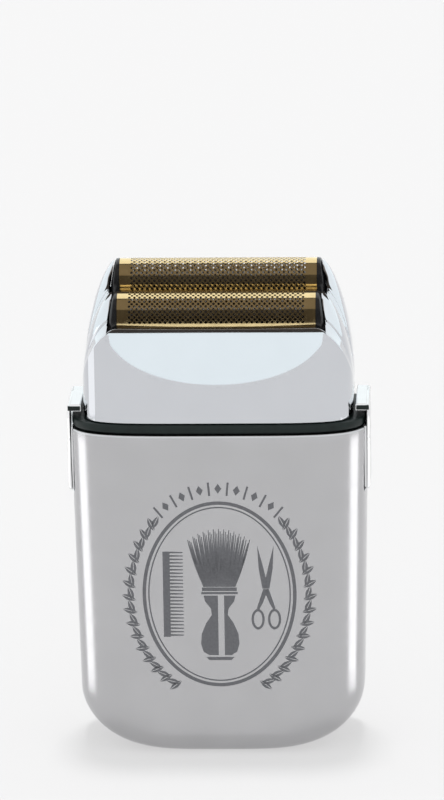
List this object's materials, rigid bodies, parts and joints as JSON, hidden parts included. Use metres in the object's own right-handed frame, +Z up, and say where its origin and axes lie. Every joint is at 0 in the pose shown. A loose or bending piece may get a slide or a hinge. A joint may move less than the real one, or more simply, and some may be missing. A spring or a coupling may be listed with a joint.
{
  "type": "foil shaver",
  "caption": "Compact cordless foil shaver with two gold foils in a lift-off chrome head over a satin metal body, side release buttons and a rear power button.",
  "frame": {"origin": "centre of the flat base, on the surface it stands on", "axes": "+Z up to the foils, -Y out of the decorated front face, +X to the right seen from the front"},
  "size_m": [0.0642, 0.03, 0.1045],
  "materials": {
    "body_metal": "satin brushed metal, laser-etched ornament on the front",
    "button_metal": "satin chrome",
    "head_chrome": "polished chrome",
    "trim_chrome": "polished chrome with a fine turned face",
    "gold_foil": "polished gold plating, perforated",
    "foil_frame_black": "semi-gloss black",
    "seal_rubber": "smooth near-black with a green cast",
    "inner_plastic": "fine moulded texture",
    "drive_plastic": "natural low-friction plastic",
    "blade_steel": "ground steel",
    "plain_steel": "zinc-plated steel",
    "cam_brass": "machined brass",
    "cell_wrap": "shrink-wrapped cell",
    "board": "green solder mask",
    "chip_black": "moulded black",
    "light_clear": "frosted clear plastic"
  },
  "bodies": {
    "root": {"front_shell": "body_metal", "rear_shell": "body_metal", "gasket": "seal_rubber", "platform": "inner_plastic", "stem_seal": "seal_rubber", "chassis": "inner_plastic", "drive_deck": "inner_plastic", "guide_rod_front": "plain_steel", "guide_rod_rear": "plain_steel", "motor_can": "plain_steel", "motor_end_cap": "drive_plastic", "motor_screw_left": "plain_steel", "motor_screw_right": "plain_steel", "platform_screw_1": "plain_steel", "platform_screw_2": "plain_steel", "platform_screw_3": "plain_steel", "platform_screw_4": "plain_steel", "battery": "cell_wrap", "battery_tab_left": "plain_steel", "battery_tab_right": "plain_steel", "circuit_board": "board", "power_switch": "chip_black", "charge_chip": "chip_black", "light_emitter": "light_clear", "light_lens": "light_clear", "charging_socket": "plain_steel", "socket_tongue": "chip_black", "base_screw_front": "plain_steel", "base_screw_rear": "plain_steel", "button_ring": "trim_chrome", "release_pin_left": "plain_steel", "release_pin_right": "plain_steel", "release_spring_left": "plain_steel", "release_spring_right": "plain_steel"},
    "head": {"head_cover": "head_chrome", "foil_retainer_left": "inner_plastic", "foil_retainer_right": "inner_plastic"},
    "front_foil_unit": {"front_foil": "gold_foil", "front_foil_frame": "foil_frame_black"},
    "rear_foil_unit": {"rear_foil": "gold_foil", "rear_foil_frame": "foil_frame_black"},
    "drive": {"drive_yoke": "drive_plastic", "front_cutter_spring": "plain_steel", "rear_cutter_spring": "plain_steel"},
    "front_cutter_unit": {"front_cutter": "blade_steel"},
    "rear_cutter_unit": {"rear_cutter": "blade_steel"},
    "rotor": {"motor_shaft": "plain_steel", "eccentric_cam": "cam_brass"},
    "release_left": {"release_button_left": "button_metal"},
    "release_right": {"release_button_right": "button_metal"},
    "power": {"power_button": "trim_chrome"}
  },
  "joints": [
    {"name": "head_lift", "type": "slide", "parent": "root", "child": "head", "axis": [0, 0, 1], "range_m": [0, 0.035]},
    {"name": "front_foil_float", "type": "slide", "parent": "head", "child": "front_foil_unit", "axis": [0, 0, -1], "range_m": [0, 0.0012], "stiffness_N_per_m": 300, "springref_m": -0.003},
    {"name": "rear_foil_float", "type": "slide", "parent": "head", "child": "rear_foil_unit", "axis": [0, 0, -1], "range_m": [0, 0.0012], "stiffness_N_per_m": 300, "springref_m": -0.003},
    {"name": "cutter_swing", "type": "slide", "parent": "root", "child": "drive", "axis": [1, 0, 0], "range_m": [-0.0007, 0.0007]},
    {"name": "front_cutter_float", "type": "slide", "parent": "drive", "child": "front_cutter_unit", "axis": [0, 0, -1], "range_m": [0, 0.0012], "stiffness_N_per_m": 300, "springref_m": -0.003, "deforming": ["front_cutter_spring"]},
    {"name": "rear_cutter_float", "type": "slide", "parent": "drive", "child": "rear_cutter_unit", "axis": [0, 0, -1], "range_m": [0, 0.0012], "stiffness_N_per_m": 300, "springref_m": -0.003, "deforming": ["rear_cutter_spring"]},
    {"name": "rotor_turn", "type": "hinge", "parent": "root", "child": "rotor", "pos_m": [0, -0.003, 0.0629], "axis": [0, 0, 1], "continuous": true},
    {"name": "release_left_press", "type": "hinge", "parent": "root", "child": "release_left", "pos_m": [-0.029, 0, 0.066], "axis": [0, -1, 0], "range_deg": [0, 6], "stiffness_Nm_per_rad": 0.15, "springref_deg": -5.73},
    {"name": "release_right_press", "type": "hinge", "parent": "root", "child": "release_right", "pos_m": [0.029, 0, 0.066], "axis": [0, 1, 0], "range_deg": [0, 6], "stiffness_Nm_per_rad": 0.15, "springref_deg": -5.73},
    {"name": "power_press", "type": "slide", "parent": "root", "child": "power", "axis": [0, -1, 0], "range_m": [0, 0.0006], "stiffness_N_per_m": 2000, "springref_m": -0.0004}
  ],
  "couplings": [
    {"joint": "front_cutter_float", "follows": "front_foil_float", "ratio": 1},
    {"joint": "rear_cutter_float", "follows": "rear_foil_float", "ratio": 1}
  ]
}
